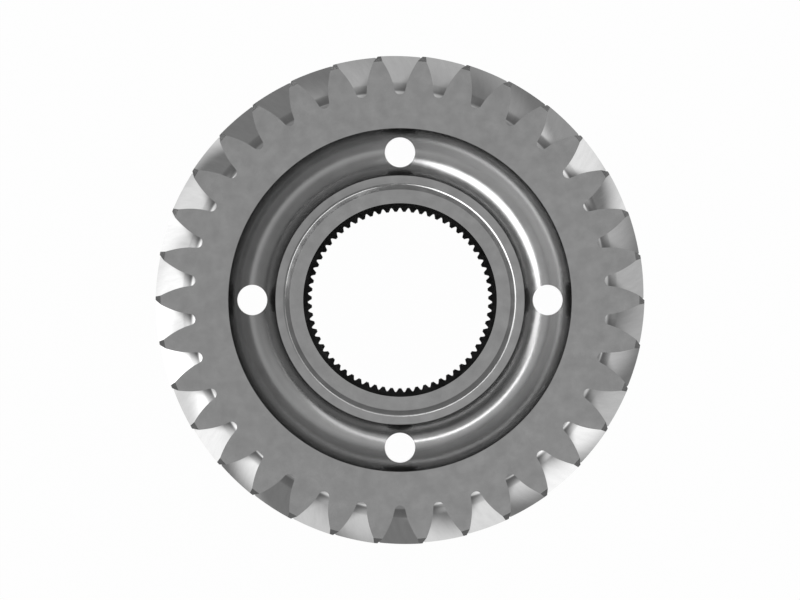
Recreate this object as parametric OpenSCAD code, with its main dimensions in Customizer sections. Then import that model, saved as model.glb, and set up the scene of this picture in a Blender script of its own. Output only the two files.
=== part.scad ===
// Driven gear: a helical gear with a splined bore, turned and cut from one piece of steel.
// It lies on its rear hub boss. The axis is +Z, the origin is the centre of the rear boss face
// and the front face, the one with the teeth in plain view, is on top.

/* [Outer teeth] */
// Number of helical teeth around the rim
tooth_count = 34; // [32:1:36]
// Diameter over the tooth tips
outside_d = 193; // [190:0.5:194]
// Diameter at the bottoms of the tooth gaps
root_d = 162.2; // [160:0.1:163]
// Diameter of the pitch circle
pitch_d = 173.4; // [171:0.1:175]
// Pressure angle of the tooth flanks, measured across the face
pressure_angle = 17.2; // [16.5:0.1:18]
// Thickness of one tooth along the pitch circle
tooth_thickness = 9.75; // [9.5:0.05:9.9]
// Radius of the rounded bottom of each tooth gap
gap_round_r = 2.15; // [1.8:0.05:2.2]
// Angle of the teeth to the axis at the pitch circle, right-hand
helix_angle = 18; // [10:1:24]
// Width of the toothed rim from face to face
rim_w = 47; // [40:1:60]
// Size of the bevel at both ends of the tooth tips
tip_bevel = 2; // [1:0.1:2.5]

/* [Web] */
// Diameter of the circle that the web groove and the web holes follow
web_circle_d = 116.8; // [114:0.2:120]
// Radius of the half-round web groove in each face
groove_r = 9.4; // [8:0.1:10]
// Number of holes through the web
web_hole_count = 4; // [3:1:8]
// Diameter of each hole through the web
web_hole_d = 12; // [8:0.5:14]

/* [Hub] */
// Height that the front hub stands above the rim face
hub_rise = 28; // [8:1:36]
// Diameter of the flat face of the hub boss
boss_d = 87; // [84:0.5:90]
// Height of the boss on the front hub, and of the one behind above the rear rim face
boss_h = 2; // [1:0.1:3]
// Radius of the fillet at the foot of the hub boss
boss_fillet_r = 1.5; // [1:0.1:2]
// Diameter of the bore bevel at the boss face
bore_bevel_d = 76.2; // [75:0.1:80]
// Angle of the bore bevel to the axis
bore_bevel_angle = 30; // [25:1:45]

/* [Spline] */
// Number of spline teeth in the bore
spline_count = 67; // [66:1:68]
// Pitch diameter of the spline, twenty-four teeth to the inch
spline_pitch_d = 70.9; // [70.8:0.1:71]
// Diameter over the crests of the spline teeth
spline_crest_d = 69.85; // [69.8:0.05:70]
// Diameter at the bottoms of the spline spaces
spline_root_d = 72.9; // [72.6:0.1:73]
// Angle of the spline flanks
spline_angle = 30; // [28:1:32]

/* [Hidden] */
$fn = 120;
steel = [0.56, 0.56, 0.57];

// Where things lie along the axis
rear_z = boss_h;
front_z = rear_z + rim_w;
height = front_z + hub_rise + boss_h;

// How the outer tooth form follows from the pitch circle
tooth_pitch = 360 / tooth_count;
base_r = pitch_d / 2 * cos(pressure_angle);
half_tooth = tooth_thickness / pitch_d * 180 / PI;
gap_round_at = root_d / 2 + gap_round_r;
flank_foot_r = gap_round_at + 0.9 * gap_round_r;
gap_arc_steps = 3;
flank_steps = 4;

// The teeth are made longer than the rim, and the turned outline trims them
spare = 2;
cut_h = height + 2 * spare;
turn_per_mm = tan(helix_angle) / (pitch_d / 2) * 180 / PI;
slices = 4;

// How the spline form follows from its pitch circle
spline_pitch = 360 / spline_count;
spline_half_space = PI * spline_pitch_d / spline_count / 4;

// Involute function of an angle, in degrees
function inv(a) = tan(a) * 180 / PI - a;

// Half the angle that a tooth takes up at radius r
function half_angle(r) = half_tooth + inv(pressure_angle) - inv(acos(base_r / r));

// A point at radius r and angle a
function polar(r, a) = [r * cos(a), r * sin(a)];

// A point of the rounded gap bottom, t degrees up from its lowest point, beside the line at angle a
function gap_point(a, t) =
    let (along = gap_round_at - gap_round_r * cos(t), across = gap_round_r * sin(t))
    [along * cos(a) - across * sin(a), along * sin(a) + across * cos(a)];

// Radius of step i of a flank, from its foot to its tip
function flank_r(i) = flank_foot_r + (outside_d / 2 - flank_foot_r) * i / flank_steps;

// Outline of one tooth centred on angle a, from the gap before it up and over to the gap after it
function tooth(a) = concat(
    [for (i = [0 : gap_arc_steps]) gap_point(a - tooth_pitch / 2, 84 * i / gap_arc_steps)],
    [for (i = [0 : flank_steps]) polar(flank_r(i), a - half_angle(flank_r(i)))],
    [for (i = [flank_steps : -1 : 0]) polar(flank_r(i), a + half_angle(flank_r(i)))],
    [for (i = [gap_arc_steps : -1 : 1]) gap_point(a + tooth_pitch / 2, -84 * i / gap_arc_steps)]
);

// Half the width of a spline space at radius r
function space_half(r) = spline_half_space - (r - spline_pitch_d / 2) * tan(spline_angle);

// Outline of one spline space centred on angle a, from crest to root and back to crest
function space(a) = [
    for (p = [[spline_crest_d / 2, -1], [spline_root_d / 2, -1], [spline_root_d / 2, 1], [spline_crest_d / 2, 1]])
        polar(p[0], a + p[1] * atan(space_half(p[0]) / p[0]))
];

// Section across the teeth, with a tooth centred on +X
module tooth_section() {
    polygon([for (i = [0 : tooth_count - 1]) each tooth(i * tooth_pitch)]);
}

// Section across the splined bore, with a space centred on +Y
module spline_section() {
    polygon([for (i = [0 : spline_count - 1]) each space(90 + i * spline_pitch)]);
}

// Outline of one side of the turned blank, from the middle of the rim at height 0 up to the boss,
// with the ring round the boss standing rise above the rim face
module side_outline(rise) {
    face = rim_w / 2;
    ring = face + rise;
    top = ring + boss_h;
    reach = outside_d / 2 + 1;
    bevel_at = outside_d / 2 - tip_bevel;
    hub_r = web_circle_d / 2 - groove_r;
    bore_r = spline_crest_d / 2 - 1;
    bevel_h = (bore_bevel_d / 2 - bore_r) / tan(bore_bevel_angle);
    foot_x = boss_d / 2 + boss_h + boss_fillet_r * tan(22.5);
    difference() {
        union() {
            polygon([[bore_r, 0], [reach, 0], [reach, face - tip_bevel - 1], [bevel_at, face], [bore_r, face]]);
            polygon([
                [bore_r, 0],
                [hub_r, 0],
                [hub_r, ring],
                [foot_x, ring],
                [foot_x - boss_fillet_r * sin(45), ring + boss_fillet_r * (1 - cos(45))],
                [boss_d / 2, top],
                [bore_bevel_d / 2, top],
                [bore_r, top - bevel_h]
            ]);
        }
        translate([web_circle_d / 2, face])
            circle(r = groove_r);
        translate([foot_x, ring + boss_fillet_r])
            circle(r = boss_fillet_r);
    }
}

// The turned blank: the front side with its tall hub, and the rear side with its hub at the rim face
module blank() {
    translate([0, 0, rear_z + rim_w / 2])
        rotate_extrude() {
            side_outline(hub_rise);
            mirror([0, 1])
                side_outline(0);
        }
}

// The bar of helical teeth that the blank's rim is cut to, turned so that the front face is in phase
module toothed_bar() {
    translate([0, 0, -spare])
        rotate([0, 0, -turn_per_mm * (front_z + spare)])
            linear_extrude(height = cut_h, twist = -turn_per_mm * cut_h, slices = slices)
                tooth_section();
}

// The holes through the web
module web_holes() {
    for (i = [0 : web_hole_count - 1])
        rotate([0, 0, i * 360 / web_hole_count])
            translate([web_circle_d / 2, 0, -spare])
                cylinder(d = web_hole_d, h = cut_h);
}

// The splined bore
module spline_cut() {
    translate([0, 0, -spare])
        linear_extrude(height = cut_h)
            spline_section();
}

module driven_gear() {
    color(steel)
        difference() {
            intersection() {
                blank();
                toothed_bar();
            }
            web_holes();
            spline_cut();
        }
}

driven_gear();
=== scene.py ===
"""Looks of the driven gear: one steel piece, turned, drilled, broached and cut with helical teeth.

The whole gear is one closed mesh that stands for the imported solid. It lies on its rear boss face,
with its axis on +Z and its front side, the one with the tall hub, on top.
"""

import logging
import math
from dataclasses import dataclass, field
from enum import Enum
from typing import Sequence

import bmesh
import bpy
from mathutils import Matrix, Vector


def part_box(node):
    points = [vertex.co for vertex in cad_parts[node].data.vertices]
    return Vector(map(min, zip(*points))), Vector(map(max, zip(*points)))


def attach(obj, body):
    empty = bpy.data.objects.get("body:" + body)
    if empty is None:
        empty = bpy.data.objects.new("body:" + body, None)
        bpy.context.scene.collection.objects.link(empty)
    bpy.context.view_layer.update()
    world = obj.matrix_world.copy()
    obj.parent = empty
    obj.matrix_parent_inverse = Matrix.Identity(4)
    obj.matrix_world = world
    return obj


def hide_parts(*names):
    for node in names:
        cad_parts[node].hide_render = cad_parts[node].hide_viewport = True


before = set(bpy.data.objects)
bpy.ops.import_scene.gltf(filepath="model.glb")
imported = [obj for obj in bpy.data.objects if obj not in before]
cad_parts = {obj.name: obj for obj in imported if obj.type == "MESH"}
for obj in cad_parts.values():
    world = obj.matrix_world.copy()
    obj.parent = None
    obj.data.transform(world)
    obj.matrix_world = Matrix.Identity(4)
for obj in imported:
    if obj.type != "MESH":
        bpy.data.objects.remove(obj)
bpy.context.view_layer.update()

logging.basicConfig(level=logging.INFO, format="%(name)s: %(message)s")
log = logging.getLogger("driven_gear")

MM = 0.001
MERGE_DISTANCE = 2e-6
SHARP_ANGLE = math.radians(28)

Point = tuple[float, float, float]
Links = dict[int | str, bpy.types.NodeSocket]
Feed = float | bpy.types.NodeSocket


def linear(hex_colour: str) -> tuple[float, float, float, float]:
    """Turns an sRGB hex colour into the linear colour that a shader takes.

    Args:
        hex_colour: six hex digits after a #.

    Returns:
        Red, green, blue and alpha, linear.
    """
    channels = []
    for i in (1, 3, 5):
        value = int(hex_colour[i : i + 2], 16) / 255
        channels.append(value / 12.92 if value <= 0.04045 else ((value + 0.055) / 1.055) ** 2.4)
    return (channels[0], channels[1], channels[2], 1.0)


def add_node(
    tree: bpy.types.NodeTree,
    kind: str,
    settings: dict[str, object] | None = None,
    values: dict[int | str, object] | None = None,
    links: Links | None = None,
) -> bpy.types.Node:
    """Adds one node to a shader or geometry tree.

    Args:
        tree: the tree that gets the node.
        kind: the node's class name.
        settings: the node's own properties.
        values: default values of its inputs, by index or name.
        links: sockets that feed its inputs, by index or name.

    Returns:
        The new node.
    """
    node = tree.nodes.new(kind)
    for name, value in (settings or {}).items():
        setattr(node, name, value)
    for key, value in (values or {}).items():
        node.inputs[key].default_value = value
    for key, socket in (links or {}).items():
        tree.links.new(socket, node.inputs[key])
    return node


@dataclass(frozen=True)
class GearSizes:
    """The gear's driving sizes, in millimetres and degrees."""

    tooth_count: int = 34
    outside_d: float = 193.0
    root_d: float = 162.2
    pitch_d: float = 173.4
    pressure_angle: float = 17.2
    tooth_thickness: float = 9.75
    gap_round_r: float = 2.15
    helix_angle: float = 18.0
    rim_w: float = 47.0
    tip_bevel: float = 2.0
    web_circle_d: float = 116.8
    groove_r: float = 9.4
    web_hole_count: int = 4
    web_hole_d: float = 12.0
    hub_rise: float = 28.0
    boss_d: float = 87.0
    boss_h: float = 2.0
    boss_fillet_r: float = 1.5
    bore_bevel_d: float = 76.2
    bore_bevel_angle: float = 30.0
    spline_count: int = 67
    spline_pitch_d: float = 70.9
    spline_crest_d: float = 69.85
    spline_root_d: float = 72.9
    spline_angle: float = 30.0

    @property
    def rear_z(self) -> float:
        """Height of the rear rim face."""
        return self.boss_h

    @property
    def front_z(self) -> float:
        """Height of the front rim face."""
        return self.rear_z + self.rim_w

    @property
    def height(self) -> float:
        """Height of the front boss face, the gear's highest point."""
        return self.front_z + self.hub_rise + self.boss_h

    @property
    def outside_r(self) -> float:
        """Radius over the tooth tips."""
        return self.outside_d / 2

    @property
    def bevel_r(self) -> float:
        """Radius at which the bevel of the tooth tips starts."""
        return self.outside_r - self.tip_bevel

    @property
    def groove_outer_r(self) -> float:
        """Radius of the groove's outer edge."""
        return self.web_circle_d / 2 + self.groove_r

    @property
    def groove_inner_r(self) -> float:
        """Radius of the groove's inner edge and of the hub's wall."""
        return self.web_circle_d / 2 - self.groove_r

    @property
    def turn(self) -> float:
        """Turn of the teeth, in radians for each millimetre along the axis."""
        return math.tan(math.radians(self.helix_angle)) / (self.pitch_d / 2)


class Finish(Enum):
    """How a surface of the gear was made."""

    FACED = "faced_steel"
    ROUGHED = "rough_turned_steel"
    GROOVED = "turned_groove_steel"
    TOOTHED = "ground_tooth_steel"
    DRILLED = "drilled_steel"
    BROACHED = "broached_steel"


@dataclass
class Skin:
    """A surface gathered patch by patch, in millimetres."""

    points: list[Point] = field(default_factory=list)
    faces: list[tuple[int, ...]] = field(default_factory=list)

    def polygon(self, ring: Sequence[Point]) -> None:
        """Adds one flat face.

        Args:
            ring: its outline.
        """
        first = len(self.points)
        self.points.extend(ring)
        self.faces.append(tuple(range(first, first + len(ring))))

    def grid(self, rows: Sequence[Sequence[Point]]) -> None:
        """Adds the quads between rows of points.

        Args:
            rows: rows of equally many points each.
        """
        first = len(self.points)
        width = len(rows[0])
        for row in rows:
            self.points.extend(row)
        for j in range(len(rows) - 1):
            for i in range(width - 1):
                a = first + j * width + i
                self.faces.append((a, a + 1, a + width + 1, a + width))

    def annulus(self, inner: Sequence[Point], outer: Sequence[Point]) -> None:
        """Fills the ring between two circles that have their points at different angles.

        Args:
            inner: points of the inner circle.
            outer: points of the outer circle.
        """
        rings, angles = [], []
        for circle in (inner, outer):
            ring = sorted(circle, key=lambda p: math.atan2(p[1], p[0]) % math.tau)
            turns = [math.atan2(y, x) % math.tau for x, y, _ in ring]
            rings.append(ring + ring[:1])
            angles.append(turns + [turns[0] + math.tau])
        first = len(self.points)
        second = first + len(rings[0])
        self.points.extend(rings[0] + rings[1])
        last_inner, last_outer = len(rings[0]) - 1, len(rings[1]) - 1
        i = j = 0
        while i < last_inner or j < last_outer:
            inner_next = j == last_outer or (
                i < last_inner and angles[0][i + 1] <= angles[1][j + 1]
            )
            if inner_next:
                self.faces.append((first + i, first + i + 1, second + j))
                i += 1
            else:
                self.faces.append((first + i, second + j + 1, second + j))
                j += 1

    def to_object(self, name: str) -> bpy.types.Object:
        """Makes an object of the surface, in metres.

        Args:
            name: name of the object and its mesh.

        Returns:
            The object, linked to the scene.
        """
        mesh = bpy.data.meshes.new(name)
        scaled = [(x * MM, y * MM, z * MM) for x, y, z in self.points]
        mesh.from_pydata(scaled, [], self.faces)
        made = bpy.data.objects.new(name, mesh)
        bpy.context.scene.collection.objects.link(made)
        return made


def polar(r: float, angle: float, z: float) -> Point:
    """A point at radius r, at an angle in radians and at height z."""
    return (r * math.cos(angle), r * math.sin(angle), z)


def steps(start: float, end: float, count: int) -> list[float]:
    """Numbers from start to end in count equal steps, both ends included."""
    return [start + (end - start) * i / count for i in range(count + 1)]


class AxisRepeat:
    """Geometry Nodes tree that repeats a piece evenly round the axis."""

    def __init__(self, name: str) -> None:
        """Starts an empty tree with its geometry sockets.

        Args:
            name: name of the tree.
        """
        self.tree = bpy.data.node_groups.new(name, "GeometryNodeTree")
        self.sockets: dict[str, str] = {}
        self.add_input("Geometry", "NodeSocketGeometry")
        self.tree.interface.new_socket(
            "Geometry", in_out="OUTPUT", socket_type="NodeSocketGeometry"
        )
        self.source = add_node(self.tree, "NodeGroupInput")

    def add_input(self, name: str, kind: str) -> None:
        """Adds a named input to the tree."""
        socket = self.tree.interface.new_socket(name, in_out="INPUT", socket_type=kind)
        self.sockets[name] = socket.identifier

    def math(self, operation: str, a: Feed, b: Feed = 0.0) -> bpy.types.NodeSocket:
        """Adds a Math node.

        Args:
            operation: what the node does.
            a: a number or a socket.
            b: a second number or socket.

        Returns:
            The node's result.
        """
        values = {i: v for i, v in ((0, a), (1, b)) if isinstance(v, (int, float))}
        links = {i: v for i, v in ((0, a), (1, b)) if not isinstance(v, (int, float))}
        node = add_node(self.tree, "ShaderNodeMath", {"operation": operation}, values, links)
        return node.outputs[0]

    def finish(self, geometry: bpy.types.NodeSocket) -> None:
        """Repeats the geometry Count times round the axis and gives it the Finish material.

        Args:
            geometry: what is repeated.
        """
        count = self.source.outputs["Count"]
        points = add_node(self.tree, "GeometryNodePoints", links={"Count": count})
        index = add_node(self.tree, "GeometryNodeInputIndex").outputs[0]
        angle = self.math("MULTIPLY", index, self.math("DIVIDE", math.tau, count))
        turned = add_node(self.tree, "ShaderNodeCombineXYZ", links={"Z": angle})
        copies = add_node(
            self.tree,
            "GeometryNodeInstanceOnPoints",
            links={
                "Points": points.outputs[0],
                "Instance": geometry,
                "Rotation": turned.outputs[0],
            },
        )
        solid = add_node(self.tree, "GeometryNodeRealizeInstances", links={0: copies.outputs[0]})
        dressed = add_node(
            self.tree,
            "GeometryNodeSetMaterial",
            links={"Geometry": solid.outputs[0], "Material": self.source.outputs["Finish"]},
        )
        add_node(self.tree, "NodeGroupOutput", links={0: dressed.outputs[0]})

    def apply(self, piece: bpy.types.Object, inputs: dict[str, object]) -> bpy.types.Object:
        """Runs the tree on a piece and keeps the result as a plain mesh.

        Args:
            piece: the object to work on.
            inputs: values of the tree's inputs, by name.

        Returns:
            The same object with the new mesh and no modifier.
        """
        modifier = piece.modifiers.new(self.tree.name, "NODES")
        modifier.node_group = self.tree
        for name, value in inputs.items():
            modifier[self.sockets[name]] = value
        graph = bpy.context.evaluated_depsgraph_get()
        mesh = bpy.data.meshes.new_from_object(piece.evaluated_get(graph))
        piece.modifiers.remove(modifier)
        piece.data = mesh
        return piece


class PlainRepeat(AxisRepeat):
    """Repeats a ready patch round the axis."""

    def __init__(self) -> None:
        """Builds the tree."""
        super().__init__("repeat_round_axis")
        self.add_input("Count", "NodeSocketInt")
        self.add_input("Finish", "NodeSocketMaterial")
        self.finish(self.source.outputs["Geometry"])


class HelicalSweep(AxisRepeat):
    """Sweeps the outline of one tooth along the helix, trims it to the rim and repeats it."""

    def __init__(self) -> None:
        """Builds the tree."""
        super().__init__("helical_sweep")
        for name in ("Count", "Rows"):
            self.add_input(name, "NodeSocketInt")
        for name in ("Rear Face", "Front Face", "Bevel Start", "Turn"):
            self.add_input(name, "NodeSocketFloat")
        self.add_input("Finish", "NodeSocketMaterial")
        ports = self.source.outputs
        outline = add_node(self.tree, "GeometryNodeMeshToCurve", links={0: ports["Geometry"]})
        place = add_node(self.tree, "GeometryNodeInputPosition").outputs[0]
        section = self._capture(outline.outputs[0], "VECTOR", place)
        line = add_node(self.tree, "GeometryNodeCurvePrimitiveLine")
        path = add_node(
            self.tree,
            "GeometryNodeResampleCurve",
            links={"Curve": line.outputs[0], "Count": ports["Rows"]},
        )
        factor = add_node(self.tree, "GeometryNodeSplineParameter").outputs["Factor"]
        along = self._capture(path.outputs[0], "FLOAT", factor)
        swept = add_node(
            self.tree,
            "GeometryNodeCurveToMesh",
            links={"Curve": along.outputs[0], "Profile Curve": section.outputs[0]},
        )
        radius = add_node(
            self.tree,
            "ShaderNodeVectorMath",
            {"operation": "LENGTH"},
            links={0: section.outputs[1]},
        ).outputs["Value"]
        cut = self.math("MAXIMUM", self.math("SUBTRACT", radius, ports["Bevel Start"]), 0.0)
        low = self.math("ADD", ports["Rear Face"], cut)
        high = self.math("SUBTRACT", ports["Front Face"], cut)
        rise = self.math("MULTIPLY", along.outputs[1], self.math("SUBTRACT", high, low))
        height = self.math("ADD", low, rise)
        angle = self.math(
            "MULTIPLY", ports["Turn"], self.math("SUBTRACT", height, ports["Front Face"])
        )
        turned = add_node(
            self.tree,
            "ShaderNodeVectorRotate",
            {"rotation_type": "Z_AXIS"},
            links={"Vector": section.outputs[1], "Angle": angle},
        )
        lift = add_node(self.tree, "ShaderNodeCombineXYZ", links={"Z": height})
        spot = add_node(
            self.tree,
            "ShaderNodeVectorMath",
            {"operation": "ADD"},
            links={0: turned.outputs[0], 1: lift.outputs[0]},
        )
        bent = add_node(
            self.tree,
            "GeometryNodeSetPosition",
            links={"Geometry": swept.outputs[0], "Position": spot.outputs[0]},
        )
        self.finish(bent.outputs[0])

    def _capture(
        self, geometry: bpy.types.NodeSocket, kind: str, value: bpy.types.NodeSocket
    ) -> bpy.types.Node:
        """Keeps a value on the points of a curve.

        Args:
            geometry: the curve.
            kind: the value's type.
            value: the value to keep.

        Returns:
            The node, whose second output is the kept value.
        """
        node = add_node(self.tree, "GeometryNodeCaptureAttribute", links={0: geometry})
        node.capture_items.new(kind, "kept")
        self.tree.links.new(value, node.inputs[1])
        return node


@dataclass
class ToothedRim:
    """The helical teeth with the flat rim faces and the bevels of the tooth tips.

    The round of a gap's bottom ends at round_end degrees from its lowest point. The involute starts
    foot_share of the round's radius above the round's centre.
    """

    sizes: GearSizes
    round_end: float = 84.0
    foot_share: float = 0.9
    flank_steps: int = 14
    round_steps: int = 7
    tip_steps: int = 3
    rim_steps: int = 8
    rows: int = 25

    def inv(self, angle: float) -> float:
        """Involute function of an angle in radians."""
        return math.tan(angle) - angle

    def half_angle(self, r: float) -> float:
        """Works out how thick a tooth is.

        Args:
            r: the radius to look at.

        Returns:
            Half the angle that the tooth takes up there.
        """
        s = self.sizes
        pressure = math.radians(s.pressure_angle)
        base_r = s.pitch_d / 2 * math.cos(pressure)
        half_tooth = s.tooth_thickness / s.pitch_d
        return half_tooth + self.inv(pressure) - self.inv(math.acos(base_r / r))

    def flank(self) -> list[tuple[float, float]]:
        """Draws one side of a tooth.

        Returns:
            Radius and angle of its points, from the gap's bottom to the tip.
        """
        s = self.sizes
        half_pitch = math.pi / s.tooth_count
        round_at = s.root_d / 2 + s.gap_round_r
        foot_r = round_at + self.foot_share * s.gap_round_r
        side = []
        for t in steps(0, math.radians(self.round_end), self.round_steps):
            along = round_at - s.gap_round_r * math.cos(t)
            across = s.gap_round_r * math.sin(t)
            side.append((math.hypot(along, across), half_pitch - math.atan2(across, along)))
        for r in steps(foot_r, s.bevel_r, self.flank_steps):
            side.append((r, self.half_angle(r)))
        for r in steps(s.bevel_r, s.outside_r, 2)[1:]:
            side.append((r, self.half_angle(r)))
        return side

    def outline(self) -> Skin:
        """Draws the section of one tooth.

        Returns:
            Points from one gap bottom over the tip to the next.
        """
        right = [(r, -a) for r, a in self.flank()]
        left = [(r, a) for r, a in reversed(self.flank())]
        tip_r, tip_a = left[0]
        tip = [(tip_r, a) for a in steps(-tip_a, tip_a, self.tip_steps)[1:-1]]
        return Skin([polar(r, a, 0.0) for r, a in right + tip + left])

    def faces(self, front: bool) -> Skin:
        """One tooth's share of a rim face, with the bevel of its tip.

        Args:
            front: whether it is the front face.

        Returns:
            The flat face and the bevel.
        """
        s = self.sizes
        pitch = math.tau / s.tooth_count
        face_z = s.front_z if front else s.rear_z
        down = -1 if front else 1

        def spot(r: float, angle: float) -> Point:
            """A point of the face or the bevel, turned with the helix."""
            z = face_z + down * max(0.0, r - s.bevel_r)
            return polar(r, angle + s.turn * (z - s.front_z), z)

        flat = [(r, a) for r, a in self.flank() if r <= s.bevel_r + 1e-6]
        across = steps(-1, 1, self.tip_steps)
        tip_a = flat[-1][1]
        turned = round(s.turn * (face_z - s.front_z) / pitch) * pitch
        ring = [spot(r, -a) for r, a in flat[:-1]]
        ring += [spot(s.bevel_r, tip_a * share) for share in across]
        ring += [spot(r, a) for r, a in reversed(flat[:-1])]
        edge = steps(turned + pitch / 2, turned - pitch / 2, self.rim_steps)
        ring += [polar(s.groove_outer_r, a, face_z) for a in edge]
        skin = Skin()
        skin.polygon(ring)
        rows = [
            [spot(r, self.half_angle(r) * share) for share in across]
            for r in steps(s.bevel_r, s.outside_r, 2)
        ]
        skin.grid(rows)
        return skin

    def build(
        self, sweep: HelicalSweep, repeat: PlainRepeat, shelf: "Shelf"
    ) -> list[bpy.types.Object]:
        """Makes the flanks and both rim faces.

        Args:
            sweep: the tree that sweeps an outline along the helix.
            repeat: the tree that repeats a patch.
            shelf: the finishes.

        Returns:
            The made surfaces.
        """
        s = self.sizes
        outline = self.outline()
        mesh = bpy.data.meshes.new("tooth_outline")
        scaled = [(x * MM, y * MM, z * MM) for x, y, z in outline.points]
        mesh.from_pydata(scaled, [(i, i + 1) for i in range(len(scaled) - 1)], [])
        teeth = bpy.data.objects.new("teeth", mesh)
        bpy.context.scene.collection.objects.link(teeth)
        sweep.apply(
            teeth,
            {
                "Count": s.tooth_count,
                "Rows": self.rows,
                "Rear Face": s.rear_z * MM,
                "Front Face": s.front_z * MM,
                "Bevel Start": s.bevel_r * MM,
                "Turn": s.turn / MM,
                "Finish": shelf[Finish.TOOTHED],
            },
        )
        made = [teeth]
        for side, front in (("front", True), ("rear", False)):
            face = self.faces(front).to_object(f"rim_{side}")
            made.append(
                repeat.apply(face, {"Count": s.tooth_count, "Finish": shelf[Finish.FACED]})
            )
        return made


@dataclass
class Web:
    """The half-round groove in each side, with the holes through it.

    A hole lies in a rectangle of the groove's grid, patch_around and patch_across cells to each
    side of its centre. The layers between them crowd towards the hole.
    """

    sizes: GearSizes
    around: int = 272
    across: int = 36
    patch_around: int = 8
    patch_across: int = 12
    layers: int = 5
    crowding: float = 1.3
    hole_rows: int = 4

    def spot(self, angle: float, lean: float, front: bool) -> Point:
        """Finds a point of the groove.

        Args:
            angle: where it lies round the axis.
            lean: how far up the groove's round it lies, as an angle from the lowest line.
            front: whether it is in the front groove.

        Returns:
            The point.
        """
        s = self.sizes
        deep = s.groove_r * math.cos(lean)
        z = s.front_z - deep if front else s.rear_z + deep
        return polar(s.web_circle_d / 2 + s.groove_r * math.sin(lean), angle, z)

    def hole_edge(self, t: float) -> tuple[float, float]:
        """Finds a point of a hole's edge.

        Args:
            t: where it lies round the hole.

        Returns:
            Its angle and lean.
        """
        s = self.sizes
        x = s.web_circle_d / 2 + s.web_hole_d / 2 * math.cos(t)
        y = s.web_hole_d / 2 * math.sin(t)
        lean = math.asin((math.hypot(x, y) - s.web_circle_d / 2) / s.groove_r)
        return math.atan2(y, x), lean

    def frame_round_hole(self) -> list[tuple[float, float]]:
        """Walks round the rectangle of the grid that a hole lies in.

        Returns:
            Angle and lean of each point on it.
        """
        a, b = self.patch_around, self.patch_across
        cells = [(a, j) for j in range(-b, b)]
        cells += [(i, b) for i in range(a, -a, -1)]
        cells += [(-a, j) for j in range(b, -b, -1)]
        cells += [(i, -b) for i in range(-a, a + 1)]
        step_around, step_across = math.tau / self.around, math.pi / self.across
        return [(i * step_around, j * step_across) for i, j in cells]

    def edge_turns(self) -> list[float]:
        """Pairs the rectangle's points with the hole's edge.

        Returns:
            Where each meets the hole, as an angle round it.
        """
        s = self.sizes
        turns = []
        for angle, lean in self.frame_round_hole():
            turns.append(math.atan2(angle * s.web_circle_d / 2, lean * s.groove_r))
        return turns

    def sector(self, front: bool) -> Skin:
        """The groove's share of one hole.

        Args:
            front: whether it is the groove of the front side.

        Returns:
            The groove from half way to the hole before up to half way to the hole after.
        """
        skin = Skin()
        half = self.around // self.sizes.web_hole_count // 2
        a, b, rim = self.patch_around, self.patch_across, self.across // 2
        step_around, step_across = math.tau / self.around, math.pi / self.across
        for cols, rows in (
            (range(-half, -a + 1), range(-rim, rim + 1)),
            (range(a, half + 1), range(-rim, rim + 1)),
            (range(-a, a + 1), range(-rim, -b + 1)),
            (range(-a, a + 1), range(b, rim + 1)),
        ):
            skin.grid(
                [[self.spot(i * step_around, j * step_across, front) for i in cols] for j in rows]
            )
        rings = []
        for k in range(self.layers + 1):
            share = (k / self.layers) ** self.crowding
            ring = []
            for (angle, lean), t in zip(self.frame_round_hole(), self.edge_turns()):
                hole_angle, hole_lean = self.hole_edge(t)
                ring.append(
                    self.spot(
                        hole_angle + (angle - hole_angle) * share,
                        hole_lean + (lean - hole_lean) * share,
                        front,
                    )
                )
            rings.append(ring)
        skin.grid(rings)
        return skin

    def hole(self) -> Skin:
        """Draws the wall of one hole.

        Returns:
            The wall from groove to groove.
        """
        skin = Skin()
        tops, feet = [], []
        for t in self.edge_turns():
            angle, lean = self.hole_edge(t)
            tops.append(self.spot(angle, lean, True))
            feet.append(self.spot(angle, lean, False))
        skin.grid(
            [
                [(x, y, z0 + (z1 - z0) * share) for (x, y, z1), (_, _, z0) in zip(tops, feet)]
                for share in steps(0, 1, self.hole_rows)
            ]
        )
        return skin

    def build(self, repeat: PlainRepeat, shelf: "Shelf") -> list[bpy.types.Object]:
        """Makes both grooves and the holes.

        Args:
            repeat: the tree that repeats a patch.
            shelf: the finishes.

        Returns:
            The made surfaces.
        """
        made = []
        for name, skin, finish in (
            ("groove_front", self.sector(True), Finish.GROOVED),
            ("groove_rear", self.sector(False), Finish.GROOVED),
            ("web_holes", self.hole(), Finish.DRILLED),
        ):
            inputs = {"Count": self.sizes.web_hole_count, "Finish": shelf[finish]}
            made.append(repeat.apply(skin.to_object(name), inputs))
        return made


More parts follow.
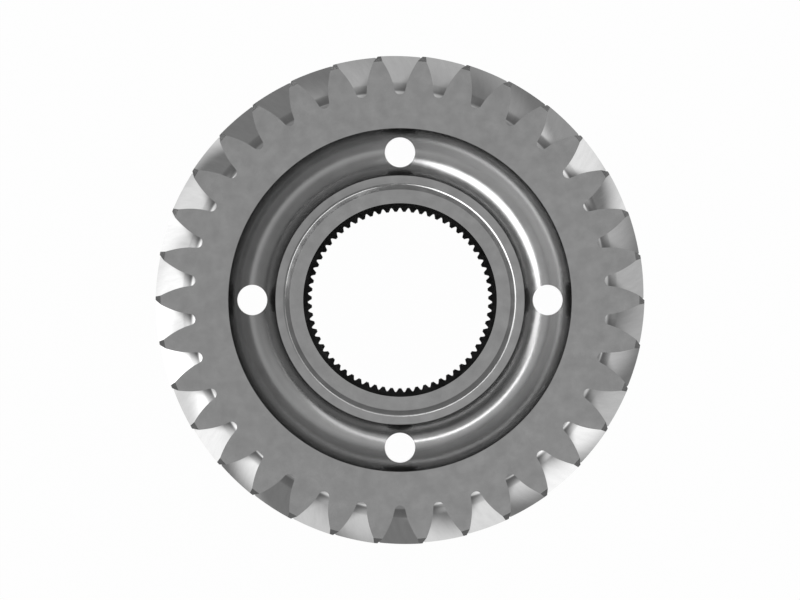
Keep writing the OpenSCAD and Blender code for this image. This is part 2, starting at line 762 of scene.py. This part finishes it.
@dataclass
class Hub:
    """The hub's wall, the ring round the boss, the fillet, the bevel and the boss face."""

    sizes: GearSizes
    boss_slope: float = 45.0
    around: int = 272
    fillet_steps: int = 6
    wall_steps: int = 4

    def profile(self, front: bool) -> list[tuple[float, float]]:
        """Radius and height of the turned outline, from the edge of the ring up to the boss edge.

        Args:
            front: whether it is the front side.

        Returns:
            Points with radius and height.
        """
        s = self.sizes
        out = 1 if front else -1
        ring_z = s.front_z + s.hub_rise if front else s.rear_z
        line = [(s.groove_inner_r, ring_z)]
        slope = math.radians(self.boss_slope)
        foot_r = s.boss_d / 2 + s.boss_h / math.tan(slope) + s.boss_fillet_r * math.tan(slope / 2)
        for t in steps(0, slope, self.fillet_steps):
            line.append(
                (
                    foot_r - s.boss_fillet_r * math.sin(t),
                    ring_z + out * s.boss_fillet_r * (1 - math.cos(t)),
                )
            )
        line.append((s.boss_d / 2, ring_z + out * s.boss_h))
        return line

    def build(self, spline: "SplinedBore", shelf: "Shelf") -> list[bpy.types.Object]:
        """Makes the hub's surfaces on both sides.

        Args:
            spline: the bore, whose bevel the boss face ends at.
            shelf: the finishes.

        Returns:
            The made surfaces.
        """
        s = self.sizes
        angles = steps(0, math.tau, self.around)
        wall = Skin()
        heights = steps(s.front_z, s.front_z + s.hub_rise, self.wall_steps)
        wall.grid([[polar(s.groove_inner_r, a, z) for a in angles] for z in heights])
        parts = [("hub_wall", wall, Finish.ROUGHED)]
        for side, front in (("front", True), ("rear", False)):
            skin = Skin()
            line = self.profile(front)
            skin.grid([[polar(r, a, z) for a in angles] for r, z in line])
            boss_r, boss_z = line[-1]
            skin.annulus(spline.mouth(boss_z), [polar(boss_r, a, boss_z) for a in angles[:-1]])
            parts.append((f"hub_{side}", skin, Finish.FACED))
        made = []
        for name, skin, finish in parts:
            part = skin.to_object(name)
            part.data.materials.append(shelf[finish])
            made.append(part)
        return made


@dataclass
class SplinedBore:
    """The splined bore with the bevel at each end."""

    sizes: GearSizes
    root_steps: int = 6
    bevel_steps: int = 3
    rows: int = 4

    def outline(self) -> list[tuple[float, float]]:
        """Draws one spline space.

        Returns:
            Radius and angle of its points, from mid crest to mid crest.
        """
        s = self.sizes
        crest_r, root_r = s.spline_crest_d / 2, s.spline_root_d / 2
        lean = math.radians(s.spline_angle)
        half_space = math.pi * s.spline_pitch_d / s.spline_count / 4
        half_pitch = math.pi / s.spline_count

        def half(r: float) -> float:
            """Half the width of the space at radius r."""
            return half_space - (r - s.spline_pitch_d / 2) * math.tan(lean)

        round_r = half(root_r) * math.cos(lean) / (1 - math.sin(lean))
        round_at = root_r - round_r
        side = [(crest_r, half_pitch), (crest_r, math.asin(half(crest_r) / crest_r))]
        for t in steps(math.pi / 2 - lean, 0, self.root_steps // 2):
            x, y = round_at + round_r * math.cos(t), round_r * math.sin(t)
            side.append((math.hypot(x, y), math.atan2(y, x)))
        return [(r, -a) for r, a in side] + [(r, a) for r, a in reversed(side[:-1])]

    def mouth(self, z: float) -> list[Point]:
        """Draws the circle where the bore's bevel meets the boss face.

        Args:
            z: its height.

        Returns:
            One point for each column of the bevel's grid.
        """
        s = self.sizes
        share = [a for _, a in self.outline()][:-1]
        pitch = math.tau / s.spline_count
        angles = [math.pi / 2 + i * pitch + a for i in range(s.spline_count) for a in share]
        return [polar(s.bore_bevel_d / 2, a, z) for a in angles]

    def bevel_drop(self, r: float) -> float:
        """How far the bevel lies below the boss face at radius r."""
        s = self.sizes
        return (s.bore_bevel_d / 2 - r) / math.tan(math.radians(s.bore_bevel_angle))

    def build(self, repeat: PlainRepeat, shelf: "Shelf") -> list[bpy.types.Object]:
        """Makes the spline's walls and both bevels.

        Args:
            repeat: the tree that repeats a patch.
            shelf: the finishes.

        Returns:
            The made surfaces.
        """
        s = self.sizes
        outline = [(r, math.pi / 2 + a) for r, a in self.outline()]
        walls = Skin()
        walls.grid(
            [
                [
                    polar(r, a, self.bevel_drop(r) + (s.height - 2 * self.bevel_drop(r)) * share)
                    for r, a in outline
                ]
                for share in steps(0, 1, self.rows)
            ]
        )
        bevels = Skin()
        for out in (1, -1):
            rows = []
            for share in steps(0, 1, self.bevel_steps):
                row = []
                for r, a in outline:
                    at = r + (s.bore_bevel_d / 2 - r) * share
                    drop = self.bevel_drop(at)
                    row.append(polar(at, a, s.height - drop if out > 0 else drop))
                rows.append(row)
            bevels.grid(rows)
        made = []
        for name, skin, finish in (
            ("spline", walls, Finish.BROACHED),
            ("bore_bevels", bevels, Finish.FACED),
        ):
            inputs = {"Count": s.spline_count, "Finish": shelf[finish]}
            made.append(repeat.apply(skin.to_object(name), inputs))
        return made


@dataclass(frozen=True)
class SteelFinish:
    """Bare steel, with the marks that its making left.

    Clouds change the shade and the gloss. Turning rings follow the distance from the gear's axis.
    """

    name: str
    colour: str
    roughness: float
    roughness_spread: float
    mottle_mm: float
    mottle_depth: float
    ring_mm: float
    ring_depth: float
    ring_height_mm: float = 0.1
    cloud_range: tuple[float, float] = (0.3, 0.7)

    def material(self) -> bpy.types.Material:
        """Builds the material.

        Returns:
            A metal with cloudy patches and turning rings about the gear's axis.
        """
        made = bpy.data.materials.new(self.name)
        made.use_nodes = True
        tree = made.node_tree
        shader = tree.nodes["Principled BSDF"]
        shader.inputs["Metallic"].default_value = 1.0
        place = add_node(tree, "ShaderNodeTexCoord").outputs["Object"]
        clouds = add_node(
            tree,
            "ShaderNodeTexNoise",
            values={"Scale": 1 / (self.mottle_mm * MM), "Detail": 5.0, "Roughness": 0.6},
            links={"Vector": place},
        ).outputs[0]
        tint = add_node(
            tree,
            "ShaderNodeMix",
            {"data_type": "RGBA", "blend_type": "MULTIPLY"},
            values={0: 1.0, 6: linear(self.colour)},
            links={7: self.vary(tree, clouds, 1.0, self.mottle_depth)},
        ).outputs[2]
        rough = self.vary(tree, clouds, self.roughness, self.roughness_spread)
        tree.links.new(tint, shader.inputs["Base Color"])
        tree.links.new(rough, shader.inputs["Roughness"])
        tree.links.new(self.rings(tree, place), shader.inputs["Normal"])
        return made

    def vary(
        self, tree: bpy.types.NodeTree, clouds: bpy.types.NodeSocket, middle: float, spread: float
    ) -> bpy.types.NodeSocket:
        """Lets a value follow the clouds.

        Args:
            tree: the tree that gets the node.
            clouds: the cloud pattern.
            middle: the value in the middle.
            spread: how far it goes to either side.

        Returns:
            The value.
        """
        low, high = self.cloud_range
        return add_node(
            tree,
            "ShaderNodeMapRange",
            values={
                "From Min": low,
                "From Max": high,
                "To Min": middle - spread,
                "To Max": middle + spread,
            },
            links={"Value": clouds},
        ).outputs[0]

    def rings(
        self, tree: bpy.types.NodeTree, place: bpy.types.NodeSocket
    ) -> bpy.types.NodeSocket:
        """Raises turning rings about the gear's axis.

        Args:
            tree: the tree that gets the nodes.
            place: the place on the gear.

        Returns:
            The surface's direction with the rings on it.
        """
        flat = add_node(
            tree, "ShaderNodeVectorMath", {"operation": "MULTIPLY"}, {1: (1, 1, 0)}, {0: place}
        ).outputs[0]
        radius = add_node(
            tree, "ShaderNodeVectorMath", {"operation": "LENGTH"}, links={0: flat}
        ).outputs["Value"]
        rings = add_node(
            tree,
            "ShaderNodeTexNoise",
            {"noise_dimensions": "1D"},
            {"Scale": 1 / (self.ring_mm * MM), "Detail": 1.0},
            {"W": radius},
        ).outputs[0]
        return add_node(
            tree,
            "ShaderNodeBump",
            values={"Strength": self.ring_depth, "Distance": self.ring_height_mm * MM},
            links={"Height": rings},
        ).outputs[0]


# Real feed marks lie 0.1 to 0.3 mm apart, too fine to show, so the rings are drawn wider. The
# clouds have the size of the faint patches that washing leaves.
FINISHES = {
    # Faced on a lathe and washed: an even mid grey with a soft sheen and faint clouds.
    Finish.FACED: SteelFinish(
        name="faced_steel",
        colour="#A6A6A6",
        roughness=0.2,
        roughness_spread=0.05,
        mottle_mm=6.0,
        mottle_depth=0.09,
        ring_mm=0.6,
        ring_depth=0.02,
    ),
    # Turned with a coarse feed and left so: the hub's wall scatters light and mirrors nothing.
    Finish.ROUGHED: SteelFinish(
        name="rough_turned_steel",
        colour="#A6A6A6",
        roughness=0.58,
        roughness_spread=0.05,
        mottle_mm=9.0,
        mottle_depth=0.05,
        ring_mm=0.6,
        ring_depth=0.03,
    ),
    # Turned with a form tool: the groove shows the room as smooth bands with soft edges.
    Finish.GROOVED: SteelFinish(
        name="turned_groove_steel",
        colour="#A6A6A6",
        roughness=0.24,
        roughness_spread=0.03,
        mottle_mm=9.0,
        mottle_depth=0.05,
        ring_mm=1.6,
        ring_depth=0.01,
    ),
    # Ground: the flanks are the brightest part and mirror the floor beside the rim.
    Finish.TOOTHED: SteelFinish(
        name="ground_tooth_steel",
        colour="#A6A6A6",
        roughness=0.09,
        roughness_spread=0.03,
        mottle_mm=6.0,
        mottle_depth=0.08,
        ring_mm=0.8,
        ring_depth=0.01,
    ),
    # Drilled: a dull wall that takes no clear reflection.
    Finish.DRILLED: SteelFinish(
        name="drilled_steel",
        colour="#A6A6A6",
        roughness=0.45,
        roughness_spread=0.03,
        mottle_mm=5.0,
        mottle_depth=0.03,
        ring_mm=0.8,
        ring_depth=0.02,
    ),
    # Broached: a little darker grey, as painted shade of the narrow, deep bore.
    Finish.BROACHED: SteelFinish(
        name="broached_steel",
        # painted shade: the spline's walls are coloured darker than the other steel
        colour="#8E8E8E",
        roughness=0.3,
        roughness_spread=0.03,
        mottle_mm=5.0,
        mottle_depth=0.03,
        ring_mm=0.8,
        ring_depth=0.0,
    ),
}

# The finished materials, by the way in which a surface was made
Shelf = dict[Finish, bpy.types.Material]


def heading(azimuth: float, polar_angle: float) -> Vector:
    """Unit vector of a direction.

    Args:
        azimuth: degrees clockwise from +Y, seen from above.
        polar_angle: degrees from straight up.

    Returns:
        The direction.
    """
    a, p = math.radians(azimuth), math.radians(polar_angle)
    return Vector((math.sin(a) * math.sin(p), math.cos(a) * math.sin(p), math.cos(p)))


@dataclass(frozen=True)
class Panel:
    """A soft lamp that shines at the gear, with its direction in degrees and its sizes in metres.

    A radiance of 1 looks as bright as white paper in full light. The lamp is moved sideways by
    shift.
    """

    name: str
    azimuth: float
    polar_angle: float
    width: float
    depth: float
    radiance: float
    shift: float = 0.0
    distance: float = 2.0

    def build(self) -> None:
        """Hangs the panel."""
        way = heading(self.azimuth, self.polar_angle)
        side = heading(self.azimuth - 90, 90)
        light = bpy.data.lights.new(self.name, "AREA")
        light.shape = "RECTANGLE"
        light.size = self.width
        light.size_y = self.depth
        light.energy = self.radiance * math.pi * self.width * self.depth
        made = bpy.data.objects.new(self.name, light)
        made.location = way * self.distance + side * self.shift
        made.rotation_euler = (-way).to_track_quat("-Z", "Y").to_euler()
        made.visible_camera = False
        bpy.context.scene.collection.objects.link(made)


# The lamps stand for the bright parts of the room that the groove and the bevels mirror. The two
# high strips draw the narrow line of light near the bottom of the groove.
PANELS = (
    Panel(name="key_panel", azimuth=45, polar_angle=51, width=1.85, depth=1.6, radiance=4.1),
    Panel(name="side_panel", azimuth=95, polar_angle=54, width=0.9, depth=1.3, radiance=2.3),
    Panel(
        name="strip_panel",
        azimuth=148.8,
        polar_angle=28.5,
        width=1.35,
        depth=0.22,
        radiance=5.0,
        shift=0.13,
    ),
    Panel(
        name="weak_strip_panel",
        azimuth=148.8,
        polar_angle=28.5,
        width=3.6,
        depth=0.3,
        radiance=1.6,
        shift=-2.3,
    ),
    Panel(name="low_west_panel", azimuth=238, polar_angle=62, width=1.9, depth=0.3, radiance=1.6),
    Panel(name="low_north_panel", azimuth=312, polar_angle=73, width=2.8, depth=0.45, radiance=3.2),
)


@dataclass(frozen=True)
class Glow:
    """A soft bright patch of the room or the floor, from a direction out to where it ends.

    The angles are in degrees. Steel mirrors the glows, and the camera sees plain white there.
    """

    azimuth: float
    reach: float
    gain: float
    polar_angle: float = 90.0


# Light from the ceiling that the bottom of the groove mirrors
ROOM_GLOWS = (
    Glow(azimuth=110, reach=26, gain=0.34, polar_angle=12),
    Glow(azimuth=200, reach=45, gain=0.34, polar_angle=40),
)

# Light on the floor beside the rim, which the tooth flanks mirror, clockwise from +Y
FLOOR_GLOWS = (
    Glow(azimuth=12, reach=24, gain=0.45),
    Glow(azimuth=51, reach=11, gain=0.22),
    Glow(azimuth=66, reach=11, gain=1.2),
    Glow(azimuth=96, reach=17, gain=0.48),
    Glow(azimuth=125, reach=11, gain=0.6),
    Glow(azimuth=144, reach=11.5, gain=1.55),
    Glow(azimuth=171, reach=15, gain=1.05),
    Glow(azimuth=208, reach=13, gain=0.78),
    Glow(azimuth=242.5, reach=13, gain=1.5),
    Glow(azimuth=267, reach=17, gain=2.5),
    Glow(azimuth=291, reach=13.5, gain=1.7),
    Glow(azimuth=309, reach=9.5, gain=1.1),
)


@dataclass
class Studio:
    """The floor, the camera, the world and the lamps.

    Sizes are in millimetres. A ring of the floor is given by the radii where it starts, is full,
    is full last and ends. Steel mirrors the floor's light in lit_ring, and far_share of it outside.
    The floor's glows lie in glow_ring.
    """

    view_width: float = 315.7
    view_distance: float = 11000.0
    focus_z: float = 47.0
    floor_size: float = 20000.0
    floor_z: float = -0.1
    floor_colour: str = "#868686"
    camera_share: float = 0.985
    far_share: float = 0.2
    room_light: float = 0.31
    floor_light: float = 0.34
    lit_ring: tuple[float, float, float, float] = (60.0, 75.0, 140.0, 180.0)
    glow_ring: tuple[float, float, float, float] = (92.0, 99.0, 140.0, 180.0)

    def camera(self) -> None:
        """Puts the camera on the gear's axis, far above it, as in the photograph."""
        lens = bpy.data.cameras.new("camera")
        lens.sensor_width = 36.0
        lens.lens = lens.sensor_width * self.view_distance / self.view_width
        lens.clip_end = 100.0
        made = bpy.data.objects.new("camera", lens)
        made.location = (0, 0, (self.view_distance + self.focus_z) * MM)
        bpy.context.scene.collection.objects.link(made)
        bpy.context.scene.camera = made

    def floor(self) -> None:
        """Lays the pale floor."""
        half, z = self.floor_size * MM, self.floor_z * MM
        mesh = bpy.data.meshes.new("floor")
        corners = [(-half, -half, z), (half, -half, z), (half, half, z), (-half, half, z)]
        mesh.from_pydata(corners, [], [(0, 1, 2, 3)])
        mesh.materials.append(self.floor_material())
        made = bpy.data.objects.new("floor", mesh)
        bpy.context.scene.collection.objects.link(made)

    def floor_material(self) -> bpy.types.Material:
        """Builds the matt white floor, which the camera sees as plain white.

        Returns:
            A matt material that steel sees brighter in a ring round the gear.
        """
        made = bpy.data.materials.new("pale_floor")
        made.use_nodes = True
        tree = made.node_tree
        tree.nodes.remove(tree.nodes["Principled BSDF"])
        colour = linear(self.floor_colour)
        matt = add_node(tree, "ShaderNodeBsdfDiffuse", values={"Color": colour})
        place = add_node(tree, "ShaderNodeTexCoord").outputs["Object"]
        way = add_node(tree, "ShaderNodeVectorMath", {"operation": "NORMALIZE"}, links={0: place})
        radius = add_node(
            tree, "ShaderNodeVectorMath", {"operation": "LENGTH"}, links={0: place}
        ).outputs["Value"]
        lit = self.ring_share(tree, radius, self.lit_ring)
        glowing = self.ring_share(tree, radius, self.glow_ring)
        light = self.glow_light(tree, way.outputs[0], self.floor_light, FLOOR_GLOWS, glowing)
        glow = add_node(tree, "ShaderNodeEmission", links={"Strength": light})
        path = add_node(tree, "ShaderNodeLightPath").outputs
        mirrored = add_node(
            tree, "ShaderNodeMapRange", values={"To Min": self.far_share}, links={0: lit}
        )
        steel = add_node(
            tree,
            "ShaderNodeMath",
            {"operation": "MULTIPLY"},
            links={0: mirrored.outputs[0], 1: path["Is Glossy Ray"]},
        )
        share = add_node(
            tree,
            "ShaderNodeMath",
            {"operation": "MULTIPLY_ADD"},
            {1: self.camera_share},
            {0: path["Is Camera Ray"], 2: steel.outputs[0]},
        )
        both = add_node(
            tree,
            "ShaderNodeMixShader",
            links={0: share.outputs[0], 1: matt.outputs[0], 2: glow.outputs[0]},
        )
        tree.links.new(both.outputs[0], tree.nodes["Material Output"].inputs["Surface"])
        return made

    def ring_share(
        self,
        tree: bpy.types.NodeTree,
        radius: bpy.types.NodeSocket,
        ring: tuple[float, float, float, float],
    ) -> bpy.types.NodeSocket:
        """Fades a ring of the floor in and out with the radius.

        Args:
            tree: the tree that gets the nodes.
            radius: the distance from the gear's axis, in metres.
            ring: radii where the ring starts, is full, is full last and ends.

        Returns:
            1 within the ring and 0 outside it.
        """
        start, full, last_full, end = ring
        rise, fall = (
            add_node(
                tree,
                "ShaderNodeMapRange",
                {"interpolation_type": "SMOOTHSTEP"},
                {"From Min": dark_r * MM, "From Max": bright_r * MM},
                {"Value": radius},
            ).outputs[0]
            for dark_r, bright_r in ((start, full), (end, last_full))
        )
        return add_node(
            tree, "ShaderNodeMath", {"operation": "MULTIPLY"}, links={0: rise, 1: fall}
        ).outputs[0]

    def glow_light(
        self,
        tree: bpy.types.NodeTree,
        way: bpy.types.NodeSocket,
        even: float,
        glows: Sequence[Glow],
        reach: bpy.types.NodeSocket | None = None,
    ) -> bpy.types.NodeSocket:
        """Adds up even light and glows, with plain white for the camera.

        Args:
            tree: the tree that gets the nodes.
            way: the direction from the gear, as a unit vector.
            even: brightness where no glow reaches.
            glows: the soft patches.
            reach: share of the glows that is left, all of them if there is none.

        Returns:
            The brightness in that direction.
        """
        total = add_node(tree, "ShaderNodeValue").outputs[0]
        total.default_value = 0.0
        for patch in glows:
            facing = add_node(
                tree,
                "ShaderNodeVectorMath",
                {"operation": "DOT_PRODUCT"},
                {1: heading(patch.azimuth, patch.polar_angle)},
                {0: way},
            )
            part = add_node(
                tree,
                "ShaderNodeMapRange",
                {"interpolation_type": "SMOOTHSTEP"},
                {"From Min": math.cos(math.radians(patch.reach)), "To Max": patch.gain},
                {"Value": facing.outputs["Value"]},
            )
            links = {0: part.outputs[0], 1: total}
            total = add_node(tree, "ShaderNodeMath", {"operation": "ADD"}, links=links).outputs[0]
        links = {0: total} if reach is None else {0: total, 1: reach}
        lit = add_node(
            tree, "ShaderNodeMath", {"operation": "MULTIPLY_ADD"}, {1: 1.0, 2: even}, links
        ).outputs[0]
        seen = add_node(tree, "ShaderNodeLightPath").outputs["Is Camera Ray"]
        shown = add_node(tree, "ShaderNodeMix", values={3: 1.0}, links={0: seen, 2: lit})
        return shown.outputs[0]

    def world(self) -> None:
        """Fills the room with even light and the soft glows."""
        made = bpy.data.worlds.new("studio")
        bpy.context.scene.world = made
        made.use_nodes = True
        tree = made.node_tree
        back = tree.nodes["Background"]
        back.inputs["Color"].default_value = (1, 1, 1, 1)
        place = add_node(tree, "ShaderNodeTexCoord").outputs["Generated"]
        light = self.glow_light(tree, place, self.room_light, ROOM_GLOWS)
        tree.links.new(light, back.inputs["Strength"])

    def build(self) -> None:
        """Makes the whole studio."""
        self.camera()
        self.floor()
        self.world()
        for panel in PANELS:
            panel.build()
        bpy.context.scene.view_settings.view_transform = "Standard"


def join(surfaces: Sequence[bpy.types.Object], name: str) -> bpy.types.Object:
    """Sews surfaces into one closed skin with sharp edges where faces meet at an angle.

    Args:
        surfaces: the objects to join, each with one material.
        name: name of the result.

    Returns:
        The joined object.
    """
    whole = bmesh.new()
    materials: list[bpy.types.Material] = []
    for surface in surfaces:
        material = surface.data.materials[-1]
        if material not in materials:
            materials.append(material)
        first = len(whole.faces)
        whole.from_mesh(surface.data)
        whole.faces.ensure_lookup_table()
        for face in whole.faces[first:]:
            face.material_index = materials.index(material)
            face.smooth = True
        bpy.data.objects.remove(surface)
    bmesh.ops.remove_doubles(whole, verts=whole.verts, dist=MERGE_DISTANCE)
    bmesh.ops.recalc_face_normals(whole, faces=whole.faces)
    open_edges = sum(1 for edge in whole.edges if not edge.is_manifold)
    mesh = bpy.data.meshes.new(name)
    whole.to_mesh(mesh)
    volume = whole.calc_volume(signed=True)
    whole.free()
    for material in materials:
        mesh.materials.append(material)
    mesh.set_sharp_from_angle(angle=SHARP_ANGLE)
    made = bpy.data.objects.new(name, mesh)
    bpy.context.scene.collection.objects.link(made)
    mesh.calc_loop_triangles()
    log.info(
        "%s: %d triangles, %d open edges, %.0f mm3",
        name,
        len(mesh.loop_triangles),
        open_edges,
        volume / MM**3,
    )
    return made


def main() -> None:
    """Builds the studio and the gear."""
    Studio().build()
    low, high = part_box("driven_gear")
    sizes = GearSizes(outside_d=(high[0] - low[0]) / MM)
    shelf: Shelf = {finish: maker.material() for finish, maker in FINISHES.items()}
    repeat, sweep = PlainRepeat(), HelicalSweep()
    bore = SplinedBore(sizes)
    surfaces = ToothedRim(sizes).build(sweep, repeat, shelf)
    surfaces += Web(sizes).build(repeat, shelf)
    surfaces += Hub(sizes).build(bore, shelf)
    surfaces += bore.build(repeat, shelf)
    for surface in surfaces:
        log.info("%s: %d faces", surface.name, len(surface.data.polygons))
    gear = join(surfaces, "gear")
    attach(gear, "root")
    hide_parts("driven_gear")


if __name__ == "__main__":
    main()
